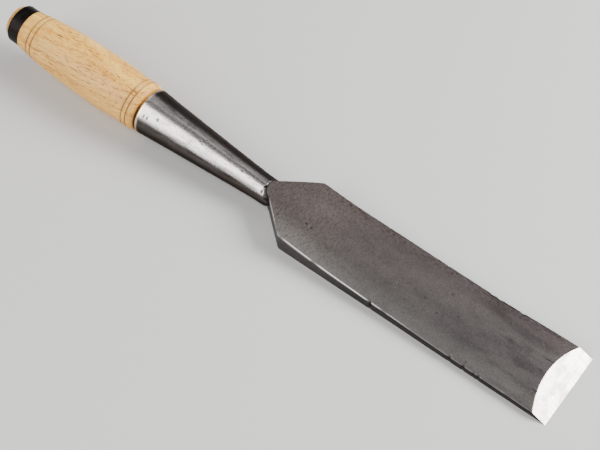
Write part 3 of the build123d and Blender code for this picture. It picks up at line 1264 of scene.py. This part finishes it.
@dataclass
class Handle:
    """One turned piece: tapered tenon, barrel grip, hoop seat and dome.

    Attributes:
        axis: what the handle is turned on; its stations count from the socket's mouth.
        shoulder: station of the grip's start, clear of the socket's rim.
        proud: run of bare wood past the hoop, before the dome.
        ring_stations: middles of the scribed and burned rings.
        barrel: shares of the grip's length, and of its swell lost there.
    """

    axis: TurningAxis
    tenon_radius: float = 12.85
    tenon_length: float = 65.0
    tenon_slope: float = 0.0814
    tenon_chamfer: float = 1.2
    shoulder: float = 1.4
    shoulder_radius: float = 14.8
    belly: float = 17.15
    grip_end: float = 13.3
    grip_length: float = 98.9
    seat_radius: float = 10.9
    hoop_end: float = 108.4
    proud: float = 2.6
    end_radius: float = 10.6
    dome: float = 2.6
    ring_depth: float = 0.35
    ring_half: float = 0.45
    ring_stations: tuple = (6.5, 9.9, 87.2, 90.9)
    barrel: tuple = ((0.107, 0.19), (0.26, 0.02), (0.4125, 0.0), (0.665, 0.145), (0.867, 0.54))

    def profile(self) -> np.ndarray:
        """Profile from the tenon's tip over the grip and the seat to the dome.

        Returns:
            Station and radius of each ring.
        """
        swell = self.belly - self.grip_end
        length = self.grip_length
        knots = [
            (self.shoulder, self.shoulder_radius),
            (self.shoulder + 1.8, self.shoulder_radius + 0.95),
            *((length * run, self.belly - swell * lost) for run, lost in self.barrel),
            (length, self.grip_end),
        ]
        near_rings = np.concatenate([s + np.linspace(-0.6, 0.6, 9) for s in self.ring_stations])
        station = np.unique(np.round(np.concatenate([
            np.linspace(self.shoulder, length, 150), near_rings,
        ]), 4))
        grip = np.column_stack([station, through(knots, station)])
        tip = self.tenon_radius - self.tenon_slope * self.tenon_length
        tenon = spaced(np.array([
            (-self.tenon_length, 0.0), (-self.tenon_length, tip - self.tenon_chamfer),
            (self.tenon_chamfer - self.tenon_length, tip + self.tenon_slope * self.tenon_chamfer),
            (self.shoulder, self.tenon_radius + self.tenon_slope * self.shoulder),
            (self.shoulder, self.shoulder_radius),
        ]), 2.5)
        crown = (self.end_radius**2 + self.dome**2) / (2 * self.dome)
        turn = np.linspace(math.asin(self.end_radius / crown), 0, 12)
        start = self.hoop_end + self.proud
        top = start + self.dome
        dome = np.column_stack([top - crown * (1 - np.cos(turn)), crown * np.sin(turn)])
        dome[-1, 1] = 0.0    # closes the end on the axis
        seat = spaced(rounded([
            (length, self.grip_end, 0), (length, self.seat_radius, 0),
            (self.hoop_end - 0.6, self.seat_radius, 0),
            (self.hoop_end, self.seat_radius + 0.6, 0.2), (start, self.end_radius, 0),
        ]), 1.0)
        return np.vstack([tenon[:-1], grip, seat[1:-1], dome])

    def build(self, wood: bpy.types.Material) -> bpy.types.Object:
        """Makes the piece: its profile turned once round the axis.

        The scribed rings are V grooves, 1 - |distance| / half width deep, and their burn fades out
        a little further.  Just inside the joint the wood is darkened as painted shade of the gap,
        most of all low on the near side, and the grip's end and the dome are darkened a little.

        Args:
            wood: finish of the whole handle.

        Returns:
            The piece, joined to the frame.
        """
        axis, length = self.axis, self.grip_length
        profile = self.profile()
        stations, radii = profile[:, :1], profile[:, 1:]
        shown = ((stations >= self.shoulder) & (radii > self.seat_radius + 1)).astype(float)
        wave = 0.05 * axis.ripple(51, 15, profile)
        wobble = 0.12 * axis.ripple(53, 5, profile)
        aways = [np.abs(stations + wobble * 0.5 - s) for s in self.ring_stations]
        groove = sum(np.clip(1 - away / self.ring_half, 0, 1) for away in aways)
        ends = eased((stations - self.shoulder) / 3) * eased((length - stations) / 3)
        radius = radii + shown * (wave * ends - self.ring_depth * groove)
        scorch = sum(eased(1 - away / (2.2 * self.ring_half)) for away in aways)
        burn = shown * (0.85 * scorch + 0.15 * groove)
        depth = 0.75 + 0.35 * axis.ripple(55, 9, profile)
        # painted shade in the joint's gap, strongest low on the near side; the grip's end and the
        # dome only darkened a little
        below = eased(0.5 - 1.2 * np.sin(axis.turn) - 0.6 * np.cos(axis.turn))
        inside = eased((self.shoulder + 1.2 - stations) / 1.6)
        gap_shade_and_handling = (0.22 + 0.73 * below * eased((stations + 3) / 2)) * inside
        gap_shade_and_handling = gap_shade_and_handling + 0.2 * eased((stations - length + 2) / 3)
        gap_shade_and_handling = gap_shade_and_handling + 0.12 * eased((stations - self.hoop_end + 0.3) / 1.0)
        tints = {"burn": burn * depth, "gap_shade_and_handling": np.clip(gap_shade_and_handling + 0 * radius, 0, 1)}
        skin = Skin("turned_handle", axis.rings(stations, radius), tints)
        return mounted(skin.build([wood]), Body.HANDLE, "handle")


@dataclass
class Hoop:
    """Plain iron ring driven on to the struck end.

    Attributes:
        struck_round: radius that blows have put on the outer corner.
        flare: chamfer inside the struck end, where the wood spreads.
        dents: seed, span and height of each unevenness of the outside.
        beaten_in: how far the outside lies in from its full radius on average.
    """

    axis: TurningAxis
    start: float = 98.9
    length: float = 9.5
    outer: float = 13.0
    inner: float = 10.9
    struck_round: float = 1.3
    inner_break: float = 0.3
    flare: float = 0.6
    dents: tuple = ((61, 4, 0.07), (63, 11, 0.05))
    beaten_in: float = 0.08

    def build(self, iron: bpy.types.Material) -> bpy.types.Object:
        """Makes the piece: a closed profile turned round the axis.

        Args:
            iron: finish of the ring.

        Returns:
            The piece, joined to the frame.
        """
        end = self.start + self.length
        profile = spaced(rounded([
            (self.start, self.inner, 0), (self.start, self.outer, self.inner_break),
            (end, self.outer, self.struck_round), (end, self.inner + self.flare, 0),
            (end - self.flare, self.inner, 0), (self.start, self.inner, 0),
        ]), 0.5)[:-1]
        stations, radii = profile[:, :1], profile[:, 1:]
        out = eased((radii - self.inner - 1.0) / 0.8)
        ripple = self.axis.ripple
        dents = sum(h * ripple(seed, span, profile) for seed, span, h in self.dents)
        radius = radii + out * (dents - self.beaten_in)
        struck = eased((stations - end + 1.6) / 1.6) * out
        worn = np.clip(struck * (0.35 + 0.35 * ripple(65, 2.5, profile)), 0, 1)
        rings = self.axis.rings(stations, radius)
        skin = Skin("struck_hoop", rings, {"worn": worn}, looped=True)
        return mounted(skin.build([iron]), Body.HANDLE, "hoop")


@dataclass(frozen=True)
class Softbox:
    """A plain square lamp aimed at the middle of the tool.

    Attributes:
        name: name of the lamp.
        towards: direction of the lamp from the tool.
        distance, width, height: in metres.
        watts: its power.
    """

    name: str
    towards: tuple[float, float, float]
    distance: float
    width: float
    height: float
    watts: float

    def build(self, aim: Vector) -> None:
        """Hangs the lamp and turns it to the point it is aimed at.

        Args:
            aim: that point.
        """
        lamp = bpy.data.lights.new(self.name, "AREA")
        lamp.shape, lamp.size, lamp.size_y = "RECTANGLE", self.width, self.height
        lamp.energy = self.watts
        hung = bpy.data.objects.new(self.name, lamp)
        hung.location = aim + Vector(self.towards).normalized() * self.distance
        hung.rotation_euler = (hung.location - aim).to_track_quat("Z", "Y").to_euler()
        bpy.context.scene.collection.objects.link(hung)


@dataclass
class Studio:
    """Plain pale floor, soft light and the camera."""

    eye: tuple[float, float, float] = (0.084397, -0.356849, 0.676819)
    aim: tuple[float, float, float] = (-0.181805, -0.007537, 0.010001)
    lens: float = 81.1
    floor_size: float = 12.0
    air: float = 0.2
    lamps: tuple[Softbox, ...] = (
        Softbox("key softbox", (0.62, 0.54, 0.57), 1.5, 0.9, 0.9, 52.0),
        Softbox("side softbox", (-0.33, -0.68, 0.64), 1.5, 0.9, 1.7, 32.0),
        Softbox("back softbox", (-0.31, 0.45, 0.83), 1.5, 1.1, 0.7, 3.0),
    )

    def build(self) -> None:
        """Lays the floor, hangs the lamps and sets the camera."""
        self.lay_floor()
        world = bpy.data.worlds.new("studio air")
        world.use_nodes = True
        air = world.node_tree.nodes["Background"].inputs
        air[0].default_value = linear("#F1F1F3")
        air[1].default_value = self.air
        bpy.context.scene.world = world
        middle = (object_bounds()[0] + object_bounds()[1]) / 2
        for lamp in self.lamps:
            lamp.build(middle)
        camera = bpy.data.cameras.new("camera")
        camera.lens, camera.sensor_width = self.lens, 36.0
        seen = bpy.data.objects.new("camera", camera)
        seen.location = self.eye
        gaze = Vector(self.aim) - Vector(self.eye)
        seen.rotation_euler = gaze.to_track_quat("-Z", "Y").to_euler()
        bpy.context.scene.collection.objects.link(seen)
        bpy.context.scene.camera = seen

    def lay_floor(self) -> None:
        """Makes the floor: one flat square a hair below the flat back."""
        half, low = self.floor_size / 2, CAD_BOX[0][2] - 0.00005
        mesh = bpy.data.meshes.new("floor")
        corners = [(-half, -half, low), (half, -half, low), (half, half, low), (-half, half, low)]
        mesh.from_pydata(corners, [], [(0, 1, 2, 3)])
        mix = Recipe("Plain painted table")
        mesh.materials.append(mix.finish(Base_Color="#C8C7C5", Roughness=0.65))
        floor = bpy.data.objects.new("floor", mesh)
        bpy.context.scene.collection.objects.link(floor)
        floor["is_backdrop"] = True


def mounted(piece: bpy.types.Object, body: Body, node: str) -> bpy.types.Object:
    """Joins a new piece to the frame in place of a node.

    Args:
        piece: the new piece, in place.
        body: the body it moves with.
        node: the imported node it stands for.

    Returns:
        The piece.
    """
    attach(piece, body.value)
    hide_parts(node)
    return piece


def main() -> None:
    """Builds the studio and every piece of the tool, in order."""
    logging.basicConfig(level=logging.INFO, format="%(message)s")
    axis, shape = TurningAxis(), BladeShape()
    patina, ground = PatinatedIron().build(), GroundSteel().build()
    pieces = [
        BladeIron(shape).build(patina, ground),
        SteelFacing(shape).build(patina, ground),
        Socket(axis, shape).build(BurnishedIron().build()),
        Handle(axis).build(TurnedAsh(axis.lean).build()),
        Hoop(axis).build(BlackenedIron().build()),
    ]
    Studio().build()
    for piece in pieces:
        log.info("%s: %d faces", piece.name, len(piece.data.polygons))


if __name__ == "__main__":
    main()
